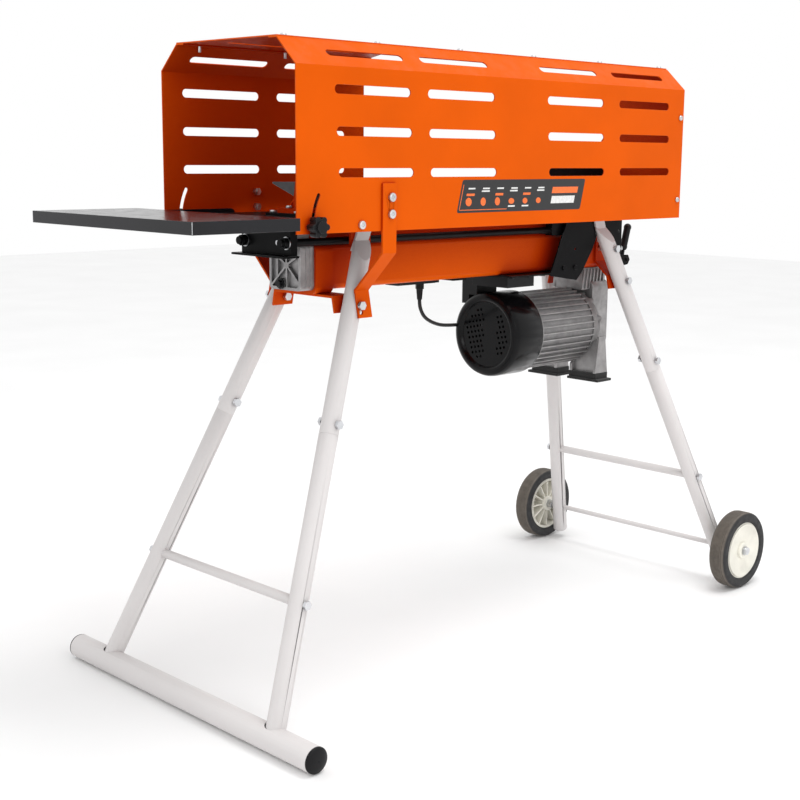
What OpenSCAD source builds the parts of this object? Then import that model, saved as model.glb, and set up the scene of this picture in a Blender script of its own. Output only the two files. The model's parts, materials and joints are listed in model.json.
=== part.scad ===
// Electric log splitter: slotted cage, fold-up table, side-rod ram, tube legs and two wheels.
// Millimetres. Deck coordinates: X along the machine from the table end, Y across,
// Z up from the lower edge of the cage.

/* [Part] */
// Which piece to draw

/* [Cage] */
// Length of the cage
cage_length = 1000; // [800:10:1200]
// Half width over the panels
cage_half = 171; // [140:1:200]
// Height of the upright part of a panel
panel_height = 250.5; // [200:0.5:300]
// Sheet thickness
sheet = 2; // [1:0.5:4]
// Width of a slot
slot_width = 14; // [8:1:20]
// Length of a slot
slot_length = 161.5; // [100:0.5:180]
// Shift of each slot row along the near panel for every mm it is lower
slot_lean = 0.07; // [0:0.01:0.2]
// Where the far panel ends and the loading side begins
loading_x = 453; // [400:1:600]
// Height of the sill under the loading side
sill_height = 60; // [20:1:75]
// Far edge of the roof and the end plate beside the loading side
roof_edge = 15; // [0:1:60]

/* [Table] */
// Table length along the machine
table_length = 192.5; // [150:0.5:260]
// Half width of the table
table_half = 212.6; // [180:0.2:260]
// Depth of the table's skirt
table_depth = 18.6; // [12:0.2:30]

/* [Tank and ram] */
// Wall of the tank beam
tank_wall = 3; // [2:0.5:5]
// Radius of the piston rod
piston_rod_r = 14; // [10:0.5:20]
// Radius of a side rod
side_rod_r = 6.5; // [5:0.5:10]
// Half spacing of the side rods
side_rod_y = 53; // [48:1:60]

/* [Legs and wheels] */
// Radius of a leg tube
leg_r = 16; // [12:0.5:20]
// Radius of a wheel
wheel_r = 81; // [60:1:120]
// Radius of the foot tube
foot_r = 21; // [16:0.5:30]

/* [Motor] */
// Height of the motor axis under the cage edge
motor_z = -221.6; // [-260:0.2:-200]
// Radius of the fan cover
cover_r = 82; // [70:1:95]
// Number of cooling fins round the body
fin_count = 36; // [24:2:60]

/* [Hidden] */
$fn = 48;
orange = [0.93, 0.36, 0.06];
white = [0.86, 0.85, 0.83];
black = [0.06, 0.06, 0.07];
zinc = [0.72, 0.73, 0.74];
grey = [0.55, 0.56, 0.57];
// middle of the machine and height of the cage edge over the ground
mid_x = 497.3;
deck_z = 779;
// ridge of the cage: half width and height of the bend
ridge_half = 127.2;
ridge_z = 291.4;
// start of each slot along the near half
slot_starts = [76.5, 277.5, 580, 790];
slot_rows = [91.3, 154, 216.5];
far_starts = [40, 241.5];
screw_xs = [20, 213, 406, 599, 792, 985];
far_screws = [40, 220, 400];
// table hinge and the stud's slot round it
hinge_x = 132.2;
hinge_z = 10.7;
stud_reach = 100;
stud_sweep = 28;
table_right = -27.5;
table_top = 26.9;
// ram
rod_z = -22;
head_x = 78;
push_x = 725;
fit = 0.05;
// wheels
axle_x = 1133.6;
axle_z = -698;
axle_r = 5.25;
wheel_in = 248;
wheel_out = 286;
foot_x = -96.7;
foot_z = -758;
foot_half = 323;
front_seam = -325;
rear_seam = -312;
front_bar_z = -568.8;
rear_bar_z = -542.6;
saddle_bolts = [3];
// meshed pump gears
gear_teeth = 12;
gear_pitch = 18;
gear_x = 905;
// lever
lever_x = 1048;
lever_z = -96;
// the lead's hand-placed route from the switch box to the motor
lead_r = 3.5;
lead_points = [[496, 60, -120], [496, 60, -136], [496, 60, -152], [502, 63, -168],
  [518, 68, -185], [545, 75, -198], [578, 83, -207], [610, 90, -211], [640, 94, -213],
  [670, 96, -214], [700, 96, -214]];

// ---- helpers ----
function unit(v) = v / norm(v);
function turned(v) = [-v[1], v[0]];
function edge_dir(p, i) = turned(unit(p[i + 1] - p[i]));
function side_dir(p, i) = let (n = len(p), a = edge_dir(p, max(i - 1, 0)),
  b = edge_dir(p, min(i, n - 2))) a + b;
function shifted(p, i, t) = p[i] + side_dir(p, i) * (2 * t / (side_dir(p, i) * side_dir(p, i)));
// bent strip of one thickness
module strip(p, t) {
  polygon(concat(p, [for (i = [len(p) - 1:-1:0]) shifted(p, i, t)]));
}
module span(a, b) {
  translate(a) cube(b - a);
}
module along_x(a, b) {
  translate([a, 0, 0]) rotate([90, 0, 90]) linear_extrude(height = b - a) children();
}
module along_y(a, b) {
  translate([0, b, 0]) rotate([90, 0, 0]) linear_extrude(height = b - a) children();
}
module rod_x(a, b, r, y = 0, z = 0) {
  translate([a, y, z]) rotate([0, 90, 0]) cylinder(h = b - a, r = r);
}
module rod_y(a, b, r, x = 0, z = 0) {
  translate([x, a, z]) rotate([-90, 0, 0]) cylinder(h = b - a, r = r);
}
module rod_z(a, b, r, x = 0, y = 0) {
  translate([x, y, a]) cylinder(h = b - a, r = r);
}
module hex_x(a, b, r, y, z) {
  translate([a, y, z]) rotate([0, 90, 0]) cylinder(h = b - a, r = r, $fn = 6);
}
module hex_y(a, b, r, x, z) {
  translate([x, a, z]) rotate([-90, 0, 0]) cylinder(h = b - a, r = r, $fn = 6);
}
module mirrored() {
  children();
  mirror([0, 1, 0]) children();
}
module round_rect(y0, z0, y1, z1, r) {
  translate([y0 + r, z0]) square([y1 - y0 - 2 * r, z1 - z0]);
  translate([y0, z0 + r]) square([y1 - y0, z1 - z0 - 2 * r]);
  for (y = [y0 + r, y1 - r], z = [z0 + r, z1 - r]) translate([y, z]) circle(r = r);
}
module slot_y(a, length, z) {
  r = slot_width / 2;
  rod_y(-20, 20, r, a + r, z);
  rod_y(-20, 20, r, a + length - r, z);
  span([a + r, -20, z - r], [a + length - r, 20, z + r]);
}
// straight tube or rod between two points
module line(a, b, r) {
  v = b - a;
  translate(a) rotate([0, acos(v[2] / norm(v)), atan2(v[1], v[0])]) cylinder(h = norm(v), r = r);
}
// leg axes, far side positive
function front_leg(z) = let (t = (z + 568.8) / 189) [-13.7 + 83 * t, 187.1 - 39.1 * t, z];
function rear_leg(z) = let (t = (z + 542.6) / 156.6) [1075.2 - 58.4 * t, 182.8 - 33.6 * t, z];
function leg_at(front, z) = front ? front_leg(z) : rear_leg(z);
module leg_line(front, z0, z1, r) {
  line(leg_at(front, z0), leg_at(front, z1), r);
}
// corners of a ring of the lead's skin
function lead_dir(i) = unit(lead_points[min(i + 1, len(lead_points) - 1)]
  - lead_points[max(i - 1, 0)]);
function blend_at(k) = let (i = min(floor(k), len(lead_points) - 2), f = k - i,
  p0 = lead_points[max(i - 1, 0)], p1 = lead_points[i], p2 = lead_points[i + 1],
  p3 = lead_points[min(i + 2, len(lead_points) - 1)])
  0.5 * (2 * p1 + (p2 - p0) * f + (2 * p0 - 5 * p1 + 4 * p2 - p3) * f * f
  + (3 * p1 - p0 - 3 * p2 + p3) * f * f * f);
lead_steps = 2;
lead_last = (len(lead_points) - 1) * lead_steps;
lead_line = [for (k = [0:lead_last]) blend_at(k / lead_steps)];
lead_sides = 10;
function lead_axis(k) = k == 0 ? [0, 0, -1] : k == lead_last ? [1, 0, 0]
  : unit(lead_line[k + 1] - lead_line[k - 1]);
function lead_ring(k) = let (d = lead_axis(k), u = unit(cross(d, [0, 1, 0.2])), w = cross(d, u))
  [for (s = [0:lead_sides - 1]) lead_line[k] + lead_r * (cos(s * 36) * u + sin(s * 36) * w)];

// ---- tank, cylinder and bed ----
module tank_section(g) {
  difference() {
    union() {
      round_rect(-40 + g, -104 + g, 40 - g, -28 - g, 10 - g);
      translate([-30 + g, -40]) square([60 - 2 * g, 52 - g]);
    }
  }
}
module tank_beam() {
  color(orange) {
    difference() {
      along_x(147.5, 955) tank_section(0);
      along_x(147, 956) tank_section(tank_wall);
    }
    difference() {
      along_x(147.5, 186) round_rect(-44, -110, 44, -28, 12);
      along_x(147, 187) tank_section(0.5);
    }
    // saddle for the front leg tops
    span([205, -66, 12], [250, 66, 15]);
    mirrored() difference() {
      span([205, 62, -28], [250, 66, 15]);
      for (z = saddle_bolts) rod_y(61, 67, 4, front_leg(z)[0], z);
    }
    for (x = [150, 280]) span([x, -30, 12], [x + 20, 30, 15]);
    span([846, -14, -122], [867, -6, -104]);
  }
}
module front_end_cap() {
  color(grey) difference() {
    union() {
      along_x(123, 147.5) {
        round_rect(-39.8, -103.4, 39.8, -26, 8);
        round_rect(-28, -40, 28, 10, 6);
      }
      // raised rim and star ribs round a hub
      difference() {
        along_x(117.7, 123) {
          round_rect(-39.8, -103.4, 39.8, -26, 8);
          round_rect(-28, -40, 28, 10, 6);
        }
        along_x(117, 123) difference() {
          round_rect(-35, -98.6, 35, -30, 6);
          translate([-4, -62]) circle(r = 5);
          for (a = [30, 88, 150, 222, 269, 318]) translate([-4, -62]) rotate(a)
            translate([0, -1.5]) square([60, 3]);
          translate([18, -84]) square([3, 30]);
          for (y = [-29, 29]) translate([y, -36]) circle(r = 8);
          translate([9.2, -93.3]) circle(r = 9);
        }
      }
      rod_x(110, 123, 20, 0, rod_z);
    }
    rod_x(100, 150, piston_rod_r + fit, 0, rod_z);
    rod_x(117, 129, 5, 9.2, -93.3);
    for (y = [-29, 29]) rod_x(117, 121, 4, y, -36);
    // joint line round the side
    for (x = [129, 138]) difference() {
      span([x, -45, -110], [x + 1, 45, -30]);
      span([x - 1, -39, -102.6], [x + 2, 39, -20]);
    }
  }
}
module rear_end_cap() {
  color(black) difference() {
    union() {
      along_x(955, 985) {
        round_rect(-40, -104, 40, -28, 8);
        round_rect(-30, -40, 30, 12, 6);
      }
      span([985, -32, -100], [1000, 32, 4]);
    }
    rod_x(950, 1001, 4 + fit, 0, -72);
  }
}
module cylinder_barrel() {
  color(grey) difference() {
    union() {
      rod_x(147.5, 620, 25, 0, rod_z);
      rod_x(147.5, 160, 26.5, 0, rod_z);
    }
    rod_x(147, 608, 20, 0, rod_z);
  }
}
module oil_plug() {
  color(black) {
    rod_x(117.7, 129, 5, 9.2, -93.3);
    rod_x(114.5, 117.7, 9, 9.2, -93.3);
    hex_x(109.5, 114.5, 6, 9.2, -93.3);
  }
}
module bed_plate() {
  color(grey) difference() {
    span([300, -38, 12], [855, 38, 18]);
    for (x = [330, 825]) rod_z(11, 19, 4, x, 0);
  }
}
module log_tray() {
  color(black) {
    difference() {
      span([-20, -158, 15], [300, 158, 18]);
      for (x = [0, 280]) rod_z(14, 19, 4, x, 0);
    }
    mirrored() span([-20, 150, 5], [-17, 158, 15]);
    span([-20, -158, 5], [-17, 158, 15]);
    difference() {
      span([110, -40, 18], [262, 40, 23]);
      for (x = [120, 252], y = [-31, 31]) rod_z(17, 24, 4, x, y);
    }
  }
}
module wedge_stand() {
  color(orange) {
    difference() {
      span([122, -24, 23], [250, 24, 31]);
      for (x = [128, 244]) rod_z(22, 32, 3, x, 0);
    }
    along_y(-6, 6) polygon([[140, 31], [146, 73], [156, 73], [156, 31]]);
    mirrored() along_y(6, 9) polygon([[132, 31], [152, 31], [152, 55]]);
  }
}
module wing() {
  polyhedron(points = [[129.5, 45, 73], [190, 6, 73], [156, 6, 73], [129.5, 45, 70],
    [190, 6, 56], [156, 6, 44]],
    faces = [[0, 1, 2], [3, 5, 4], [0, 2, 5, 3], [1, 0, 3], [1, 3, 4], [1, 4, 5, 2]]);
}
module wedge() {
  color([0.2, 0.2, 0.21]) {
    translate([0, 0, 31]) linear_extrude(height = 46)
      polygon([[156, -6], [190, -6], [228, 0], [190, 6], [156, 6]]);
    mirrored() wing();
  }
}

// ---- cage ----
module panel_profile() {
  strip([[cage_half, 0], [cage_half, panel_height], [ridge_half, ridge_z],
    [ridge_half - 19, ridge_z]], sheet);
}
module slot_cuts(starts, lean, screws) {
  for (x = starts, z = slot_rows) translate([lean * (slot_rows[2] - z), cage_half, 0])
    slot_y(x, slot_length, z);
  for (x = starts) translate([x + 2, 149.1, 270.95]) rotate([46.96, 0, 0])
    slot_y(0, slot_length, 0);
  for (x = screws) rod_z(280, 300, 2.5, x, 119);
}
// the open loading side: everything above the sill, right of a slanted edge
module loading_cut(z0) {
  k = (loading_x - 346) / cage_half;
  translate([0, 0, z0]) linear_extrude(height = 400) polygon([[346 + k * roof_edge, roof_edge],
    [1100, roof_edge], [1100, 260], [346 + k * 260, 260]]);
}
// round hole and curved slot for the table's arm, brace bolt holes
module end_cuts() {
  rod_y(cage_half - 10, cage_half + 10, 4, hinge_x, hinge_z);
  for (z = [26.4, 52.9]) rod_y(cage_half - 10, cage_half + 10, 4, 193, z);
  for (z = [36, 196]) rod_y(cage_half - 10, cage_half + 10, 2.5, cage_length - 8, z);
  intersection() {
    difference() {
      rod_y(cage_half - 10, cage_half + 10, stud_reach + 3.5, hinge_x, hinge_z);
      rod_y(cage_half - 11, cage_half + 11, stud_reach - 3.5, hinge_x, hinge_z);
    }
    along_y(cage_half - 9, cage_half + 9) polygon([[hinge_x, hinge_z], [hinge_x - 200, hinge_z],
      [hinge_x - 200, hinge_z + 200 * tan(stud_sweep)]]);
  }
  for (a = [0, stud_sweep]) rod_y(cage_half - 10, cage_half + 10, 3.5,
    hinge_x - stud_reach * cos(a), hinge_z + stud_reach * sin(a));
}
module cage_half_far() {
  difference() {
    along_x(0, cage_length) panel_profile();
    slot_cuts(far_starts, 0, far_screws);
    end_cuts();
    loading_cut(sill_height);
  }
}
module cage_half_near() {
  mirror([0, 1, 0]) difference() {
    along_x(0, cage_length) panel_profile();
    slot_cuts(slot_starts, slot_lean, screw_xs);
    end_cuts();
  }
}
module cage_top() {
  color(orange) difference() {
    span([0, -ridge_half, ridge_z], [cage_length, ridge_half, ridge_z + sheet]);
    for (x = slot_starts) translate([x, -61, ridge_z]) rotate([90, 0, 0])
      slot_y(0, slot_length, 0);
    translate([38, 40, ridge_z]) rotate([90, 0, 0]) slot_y(0, 268, 0);
    loading_cut(ridge_z - 1);
    for (x = screw_xs) rod_z(280, 300, 2.5, x, -119);
    for (x = far_screws) rod_z(280, 300, 2.5, x, 119);
  }
}
module cage_end_plate() {
  color(orange) difference() {
    union() {
      along_x(cage_length, cage_length + 3) polygon([[-cage_half, 0],
        [-cage_half, panel_height], [-ridge_half, ridge_z], [roof_edge, ridge_z],
        [roof_edge, 168], [118, 44], [cage_half, 44], [cage_half, 0]]);
      // folded edges screwed to the panels
      span([cage_length - 18, sheet - cage_half, 2], [cage_length, 5 - cage_half, 246]);
      span([cage_length - 18, cage_half - 5, 2], [cage_length, cage_half - sheet, 44]);
    }
    for (z = [36, 196]) rod_y(-180, 180, 2.5, cage_length - 8, z);
  }
}
module brace_far() {
  color(orange) difference() {
    along_x(175, 205) strip([[171, 75], [171, -34], [106.25, -99], [115.77, -145]], 4);
    for (z = [26.4, 52.9]) rod_y(165, 180, 4, 193, z);
    for (z = [-124, -135]) rod_y(100, 125, 4, front_leg(-124)[0], z);
  }
}
module brace_near() {
  mirror([0, 1, 0]) brace_far();
}
module cross_straps() {
  color(orange) {
    difference() {
      along_x(156, 199) strip([[-81.63, -138], [-75.84, -110], [75.84, -110], [81.63, -138]], -4);
      rod_y(-100, 100, 4, front_leg(-124)[0], -124);
    }
    mirrored() difference() {
      along_x(900, 936) strip([[40, -50], [40, -92], [71.64, -119.84], [76.99, -144.84]], 4);
      rod_y(50, 100, 4, rear_leg(-126.6)[0], -126.6);
    }
  }
}

// ---- legs, foot tube and axle ----
module leg_upper(front, seam, bolts) {
  lean = front ? atan(83 / 189) : -atan(58.4 / 156.6);
  color(white) difference() {
    union() {
      difference() {
        leg_line(front, seam, -16, leg_r);
        leg_line(front, seam - 1, -80, leg_r - 1.8);
        // flattened towards the saddle
        translate([leg_at(front, -44)[0], 0, -44]) span([-60, 0, 0], [60, 66, 80]);
        translate([leg_at(front, -22)[0], 70, -22]) rotate([40.9, 0, 0])
          span([-60, 0, -70], [60, 80, 80]);
      }
      translate([leg_at(front, -44)[0], 66, -44]) rotate([0, lean, 0])
        span([-14, 0, 0], [14, 4, 57]);
    }
    for (z = saddle_bolts) rod_y(60, 75, 4, leg_at(front, z)[0], z);
    for (z = bolts) rod_y(60, 180, 4, leg_at(front, z)[0], z);
  }
}
module leg_lower(front, seam, bottom, bolts, bar) {
  color(white) difference() {
    union() {
      leg_line(front, bottom, seam, leg_r);
      leg_line(front, seam - 1, seam + 52, leg_r - 1.85);
    }
    leg_line(front, bottom - 2, seam + 54, leg_r - 3.4);
    for (z = bolts) rod_y(100, 180, 4, leg_at(front, z)[0], z);
    rod_y(150, 220, 4, leg_at(front, bar)[0], bar);
    rod_y(150, 300, axle_r, axle_x, axle_z);
  }
}
module crossbar(front, z) {
  color(white) difference() {
    rod_y(-190, 190, 8, leg_at(front, z)[0], z);
    mirrored() leg_line(front, z - 40, z + 40, leg_r + 0.02);
    mirrored() rod_y(140, 220, 4, leg_at(front, z)[0], z);
  }
}
module foot_tube() {
  color(white) difference() {
    rod_y(-foot_half, foot_half, foot_r, foot_x, foot_z);
    rod_y(-foot_half - 1, foot_half + 1, foot_r - 2, foot_x, foot_z);
    mirrored() leg_line(true, foot_z, -690, leg_r + 0.02);
    // the holes are a little longer than the tubes on the far side
    translate([0, 4, 3]) mirrored() leg_line(true, foot_z, -690, leg_r - 1);
  }
}
module foot_caps() {
  color(black) mirrored() translate([foot_x, foot_half, foot_z]) rotate([-90, 0, 0]) {
    translate([0, 0, -18]) cylinder(h = 18, r = foot_r - 2);
    rotate_extrude() polygon([[0, 0], [foot_r, 0], [foot_r, 2], [20, 3.6], [17, 5.2],
      [12, 6.6], [6, 7.3], [0, 7.5]]);
  }
}
module bolt_y(y0, y1, x, z, r = 4) {
  rod_y(y0, y1, r, x, z);
  hex_y(y1, y1 + 5.5, 1.9 * r, x, z);
  hex_y(y0, y0 + 6, 1.9 * r, x, z);
}
module frame_bolts() {
  color(zinc) {
    mirrored() {
      // leg tops, seams, straps and crossbars
      for (f = [true, false], z = saddle_bolts) {
        rod_y(62, 70, 4, leg_at(f, z)[0], z);
        hex_y(70, 75, 7, leg_at(f, z)[0], z);
        rod_y(60.5, 62, 6, leg_at(f, z)[0], z);
      }
      for (b = [[true, -307], [false, -292], [false, -62]]) {
        p = leg_at(b[0], b[1]);
        bolt_y(p[1] - 24, p[1] + 18, p[0], b[1]);
      }
      for (b = [[true, -124, 72, 117], [false, -126.6, 68.5, 112]]) {
        p = leg_at(b[0], b[1]);
        bolt_y(b[2] - 5, b[3], p[0], b[1]);
      }
      for (b = [[true, front_bar_z], [false, rear_bar_z]]) {
        p = leg_at(b[0], b[1]);
        rod_y(140, p[1] + 18, 4, p[0], b[1]);
        hex_y(p[1] + 18, p[1] + 23.5, 7.6, p[0], b[1]);
      }
      // brace to panel
      for (z = [26.4, 52.9]) {
        rod_y(160, 175, 4, 193, z);
        rod_y(175, 179, 7, 193, z);
        hex_y(162.5, cage_half - sheet, 7, 193, z);
      }
      // table hinge
      rod_y(159, cage_half, 4, hinge_x, hinge_z);
      rod_y(cage_half, cage_half + 3.5, 6.5, hinge_x, hinge_z);
      rod_y(167.1, cage_half - sheet, 8, hinge_x, hinge_z);
      hex_y(158.2, 162.9, 7, hinge_x, hinge_z);
      // end plate screw in the sill
      rod_y(160, cage_half, 2.5, cage_length - 8, 36);
      rod_y(cage_half, cage_half + 3, 4.5, cage_length - 8, 36);
      // wheel spacers, washers and end nuts
      difference() {
        union() {
          rod_y(234.5, wheel_in - 0.1, 9, axle_x, axle_z);
          rod_y(wheel_out + 0.1, wheel_out + 2, 9.5, axle_x, axle_z);
          rod_y(wheel_out + 2, wheel_out + 7, 8, axle_x, axle_z);
        }
        rod_y(230, wheel_out + 5, axle_r, axle_x, axle_z);
      }
    }
    rod_y(-cage_half, -160, 2.5, cage_length - 8, 196);
    rod_y(-cage_half - 3, -cage_half, 4.5, cage_length - 8, 196);
    // ridge screws
    for (s = [[-119, screw_xs], [119, far_screws]]) for (x = s[1]) {
      rod_z(280, 293.4, 2.5, x, s[0]);
      rod_z(293.4, 296.4, 4.5, x, s[0]);
    }
    // log tray and bed screws
    for (x = [330, 825]) rod_z(12, 17.5, 4, x, 0);
    for (x = [0, 280]) rod_z(x > 100 ? 15 : 12, 18, 4, x, 0);
    for (x = [120, 252], y = [-31, 31]) {
      rod_z(18, 23, 4, x, y);
      rod_z(23, 27, 6.5, x, y);
    }
    for (x = [128, 244]) {
      rod_z(23, 31, 3, x, 0);
      rod_z(31, 35, 5.5, x, 0);
    }
  }
}
module axle() {
  color(white) rod_y(-wheel_out - 5, wheel_out + 5, axle_r, axle_x, axle_z);
}

// ---- wheels, drawn with their axis along Z and the outer side up ----
module wheel_place() {
  mid = (wheel_in + wheel_out) / 2;
  translate([axle_x, mid, axle_z]) rotate([-90, 0, 0]) children();
}
module tyre() {
  h = (wheel_out - wheel_in) / 2;
  color(black) wheel_place() difference() {
    rotate_extrude() polygon([[60, -h + 3], [64, -h], [74, -h], [78, -h + 1.2], [80.2, -h + 4],
      [wheel_r, -h + 8], [wheel_r, h - 8], [80.2, h - 4], [78, h - 1.2], [74, h], [64, h],
      [60, h - 3]]);
    for (z = [-12, -9, -6, -3, 0, 3, 6, 10]) translate([0, 0, z]) difference() {
      cylinder(h = 0.9, r = wheel_r + 1);
      translate([0, 0, -1]) cylinder(h = 3, r = wheel_r - 0.8);
    }
  }
}
module rim() {
  h = (wheel_out - wheel_in) / 2;
  color([0.9, 0.89, 0.84]) wheel_place() difference() {
    union() {
      rotate_extrude() polygon([[17, h - 10], [40, h - 8], [55, h - 4], [55, -h + 2],
        [57, -h + 2], [57, h - 1], [54, h - 1], [50, h - 3], [40, h - 5.5], [17, h - 7]]);
      rotate_extrude() polygon([[55.5, -h + 3.5], [60, -h + 3.5], [60, h - 3.5], [55.5, h - 3.5]]);
      cylinder(h = h - 1, r = 17);
      translate([0, 0, -h]) cylinder(h = h, r = 17);
      for (a = [0:30:330]) rotate([0, 0, a]) span([15, -1.5, -h + 5], [56, 1.5, h - 7]);
    }
    translate([0, 0, -h - 1]) cylinder(h = 2 * h + 2, r = axle_r + fit);
  }
}

// ---- motor side ----
module motor_bracket() {
  color(black) {
    span([612, -70, -107], [818, 70, -104]);
    mirrored() {
      difference() {
        along_y(67, 70) polygon([[780, 10], [756.5, -37], [724, -109], [806, -122],
          [823, -106], [853, -65], [868, -36], [845, -12], [845, 10]]);
        rod_y(60, 75, 3, 800, -60);
      }
      rod_y(70, 73, 5, 765, -96);
      rod_y(70, 73, 5, 800, -96);
      // saddle side behind the rear leg top
      difference() {
        span([800, 62, -36], [942, 66, 15]);
        for (z = saddle_bolts) rod_y(61, 67, 4, rear_leg(z)[0], z);
      }
      span([800, 66, -30], [840, 67, 8]);
    }
    span([860, -66, 12], [905, 66, 15]);
    for (x = [630, 676, 722]) rod_z(-110, -107, 5, x, -52);
    // small cable clip
    span([508, -16, -110], [543, 16, -104]);
  }
}
module lever_bracket() {
  color(black) {
    difference() {
      span([1000, -30, -112], [1004, 30, -0.5]);
      rod_x(999, 1010, 6, 0, -72);
    }
    mirrored() along_y(11, 14) polygon([[1004, -112], [1004, -84], [1052, -86], [1058, -96],
      [1052, -106]]);
    rod_y(-17, 17, 4, lever_x, lever_z);
  }
}
module capacitor_box() {
  color(black) difference() {
    union() {
      span([628, -45, -129], [705, 46, -107]);
      span([640, 45, -150], [698, 84, -107]);
      span([640, 66, -168], [698, 84, -149]);
      span([644, 84, -164], [694, 86, -111]);
    }
    for (x = [650, 688], z = [-158, -117]) rod_y(85, 87, 3, x, z);
  }
}
module switch_box() {
  color(black) difference() {
    union() {
      span([432, 40, -118], [528, 84, -38]);
      span([430, 52, -120], [530, 85, -36]);
    }
    rod_y(70, 86, 9 + fit, 500, -78);
    // appliance inlet
    span([429, 56, -92], [446, 80, -62]);
    span([455, 84, -90], [485, 86, -64]);
  }
  color(black) for (z = [-84, -77, -70]) span([434, 62, z - 1], [446, 68, z + 1]);
}
module motor_lead() {
  color(black) polyhedron(
    points = [for (k = [0:lead_last]) each lead_ring(k)],
    faces = concat([[for (s = [lead_sides - 1:-1:0]) s]],
      [for (k = [0:lead_last - 1], s = [0:lead_sides - 1]) let (a = k * lead_sides,
        b = a + lead_sides, n = (s + 1) % lead_sides) [a + s, a + n, b + n, b + s]],
      [[for (s = [0:lead_sides - 1]) lead_last * lead_sides + s]]));
}
module lead_glands() {
  color(black) {
    difference() {
      union() {
        translate([496, 60, -130]) cylinder(h = 10, r = 8.5, $fn = 6);
        translate([496, 60, -150]) cylinder(h = 20, r1 = 4.8, r2 = 6.5);
      }
      rod_z(-151, -119, lead_r + 0.5, 496, 60);
    }
    difference() {
      union() {
        hex_x(690, 700, 8.5, 96, -214);
        translate([670, 96, -214]) rotate([0, 90, 0]) cylinder(h = 20, r1 = 4.8, r2 = 6.5);
      }
      rod_x(669, 701, lead_r + 0.5, 96, -214);
    }
  }
}
module motor_turn() {
  translate([0, 0, motor_z]) rotate([0, 90, 0]) children();
}
module fan_cover() {
  color(black) difference() {
    motor_turn() rotate_extrude() polygon([[0, 621], [62, 621], [65, 616], [69, 614], [74, 614.6],
      [79, 618], [81.4, 624], [cover_r, 631], [cover_r, 694], [79.5, 694], [79.5, 631],
      [77, 622], [72, 618.5], [69, 619.5], [66, 624], [0, 624]]);
    // two fields of air holes in a slanted grid
    for (i = [-5:5], j = [-5:5]) let (y = 9 * i + 3 * j, z = 9.5 * j - 2 * i)
      if (norm([y, z]) < 54 && (y > 8 || y < -24))
        rod_x(612, 628, 2.6, y, motor_z + z);
  }
}
module motor_body() {
  color(grey) difference() {
    union() {
      rod_x(694, 866, 70, 0, motor_z);
      for (i = [0:fin_count - 1]) translate([0, 0, motor_z]) rotate([i * 360 / fin_count, 0, 0])
        span([697, 68, -1.1], [863, 76.8, 1.1]);
      rod_x(694, 699, 79.4, 0, motor_z);
      span([700, 60, -250], [784, 104, -190]);
      span([700, 104, -252], [786, 108, -188]);
    }
    rod_x(700, 870, 58, 0, motor_z);
    rod_x(690, 702, 8 + fit, 0, motor_z);
  }
}
module stator() {
  color([0.45, 0.3, 0.2]) difference() {
    union() {
      rod_x(730, 830, 57.98, 0, motor_z);
      rod_x(712, 848, 52, 0, motor_z);
    }
    rod_x(700, 860, 37, 0, motor_z);
  }
}
module end_bell() {
  color(grey) {
    difference() {
      union() {
        rod_x(866, 880, 72, 0, motor_z);
        rod_x(880, 893, 66, 0, motor_z);
        for (a = [0:45:315]) translate([0, 0, motor_z]) rotate([a + 22.5, 0, 0])
          span([880, 20, -2], [890, 71, 2]);
        mirrored() {
          along_y(20, 80) polygon([[872, -250], [888, -250], [892, -314], [868, -314]]);
          along_y(17, 23) polygon([[866.2, -270], [892, -270], [900, -314], [860, -314],
            [860, -300], [866.2, -294]]);
          along_y(77, 83) polygon([[870, -240], [890, -240], [900, -314], [860, -314]]);
        }
      }
      rod_x(865, 884, 50, 0, motor_z);
      rod_x(860, 900, 8 + fit, 0, motor_z);
    }
    mirrored() for (a = [14, 50]) translate([0, 66 * cos(a), motor_z + 66 * sin(a)])
      rotate([0, 90, 0]) translate([0, 0, 880]) cylinder(h = 13, r = 6);
  }
}
module pump_neck() {
  color(grey) difference() {
    union() {
      span([868, -35, -148], [945, 35, -104]);
      along_x(893, 945) round_rect(-44, -264, 44, -130, 14);
      mirrored() for (i = [0:6]) translate([873 + 11 * i, 0, -106]) rotate([0, 8, 0])
        span([-1.5, 34, i < 3 ? -40 : -66], [1.5, 38.5, 0]);
      for (i = [0:5]) span([944, -30 + 12 * i - 1.5, -240], [949, -30 + 12 * i + 1.5, -110]);
    }
    rod_x(900, 914, 21, 0, motor_z);
    rod_x(900, 914, 21, 0, motor_z + 2 * gear_pitch);
    rod_x(890, 901, 8 + fit, 0, motor_z);
    rod_x(890, 920, 6 + fit, 0, motor_z + 2 * gear_pitch);
  }
}
module motor_boots() {
  color(black) mirrored() {
    span([860, 15, -326], [900, 84, -314]);
    span([857, 13, -331], [903, 92, -326]);
  }
}
function tooth(i) = let (a = i * 360 / gear_teeth) [
  [14.8 * cos(a - 8.2), 14.8 * sin(a - 8.2)], [20 * cos(a - 2.6), 20 * sin(a - 2.6)],
  [20 * cos(a + 2.6), 20 * sin(a + 2.6)], [14.8 * cos(a + 8.2), 14.8 * sin(a + 8.2)]];
module gear(x, z, turn) {
  translate([x, 0, z]) rotate([0, 90, 0]) rotate([0, 0, turn]) linear_extrude(height = 7)
    polygon([for (i = [0:gear_teeth - 1]) each tooth(i)]);
}
module rotor() {
  color([0.6, 0.6, 0.62]) {
    rod_x(730, 830, 36, 0, motor_z);
    rod_x(640, 912, 8, 0, motor_z);
    for (x = [718, 832]) rod_x(x, x + 10, 30, 0, motor_z);
    gear(gear_x - 2, motor_z, 0);
  }
}
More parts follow.
